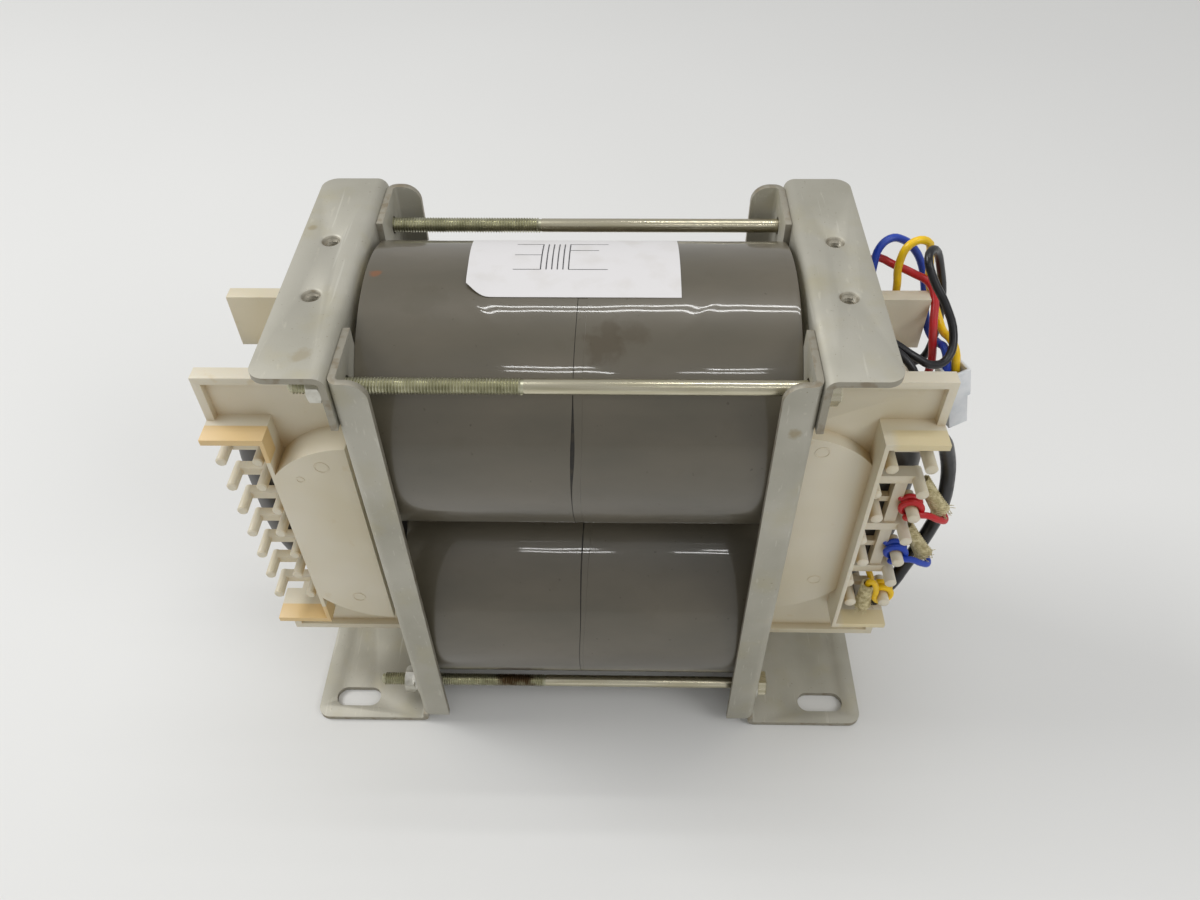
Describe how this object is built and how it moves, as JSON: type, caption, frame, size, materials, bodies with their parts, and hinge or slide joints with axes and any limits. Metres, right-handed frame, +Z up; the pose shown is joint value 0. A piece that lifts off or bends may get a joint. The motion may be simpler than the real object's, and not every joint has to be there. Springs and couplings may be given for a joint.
{
  "type": "wound-core chassis transformer",
  "caption": "Closed round-core power transformer with stacked coils, folded clamp brackets, slotted feet, moulded terminal covers and coloured leads",
  "frame": {"origin": "centre of the mounting face, midway between the four foot slots, on the surface the feet stand on", "axes": "+X along the coils towards the lead end, +Y towards the rear, +Z up out of the feet"},
  "size_m": [0.1973, 0.0772, 0.146],
  "materials": {
    "core_steel": "varnished silicon steel strip",
    "bobbin_nylon": "moulded nylon",
    "copper_wire": "enamelled copper wire",
    "crepe_paper": "insulating paper",
    "coil_film": "glossy polyester film over grey wrap",
    "zinc_sheet": "zinc-plated sheet steel",
    "cover_moulding": "aged cream moulding",
    "bolt_zinc": "bright steel with yellow passivated thread",
    "washer_zinc": "zinc-plated",
    "spring_steel": "spring steel",
    "nut_zinc": "bright zinc-plated",
    "label_paper": "blank coated label",
    "glass_sleeve": "braided glass-fibre sleeve",
    "blue_pvc": "lead insulation",
    "red_pvc": "lead insulation",
    "yellow_pvc": "lead insulation",
    "black_pvc": "lead insulation",
    "connector_nylon": "white nylon"
  },
  "bodies": {
    "root": {"core": "core_steel", "upper_bobbin_front": "bobbin_nylon", "upper_bobbin_rear": "bobbin_nylon", "lower_bobbin_front": "bobbin_nylon", "lower_bobbin_rear": "bobbin_nylon", "upper_primary": "copper_wire", "lower_primary": "copper_wire", "upper_insulation": "crepe_paper", "lower_insulation": "crepe_paper", "upper_secondary": "copper_wire", "lower_secondary": "copper_wire", "upper_wrap": "coil_film", "lower_wrap": "coil_film", "left_bracket": "zinc_sheet", "right_bracket": "zinc_sheet", "left_top_angle": "zinc_sheet", "right_top_angle": "zinc_sheet", "left_cover_front": "cover_moulding", "left_cover_rear": "cover_moulding", "right_cover_front": "cover_moulding", "right_cover_rear": "cover_moulding", "bolt_upper_front": "bolt_zinc", "bolt_upper_rear": "bolt_zinc", "bolt_lower_front": "bolt_zinc", "bolt_lower_rear": "bolt_zinc", "plain_washers": "washer_zinc", "spring_washers": "spring_steel", "hex_nuts": "nut_zinc", "rating_label": "label_paper", "lead_sleeves": "glass_sleeve", "blue_lead": "blue_pvc", "red_lead": "red_pvc", "yellow_lead": "yellow_pvc", "black_lead": "black_pvc", "black_pair_lead": "black_pvc", "sleeved_lead": "black_pvc", "connector_housing": "connector_nylon"}
  },
  "joints": []
}
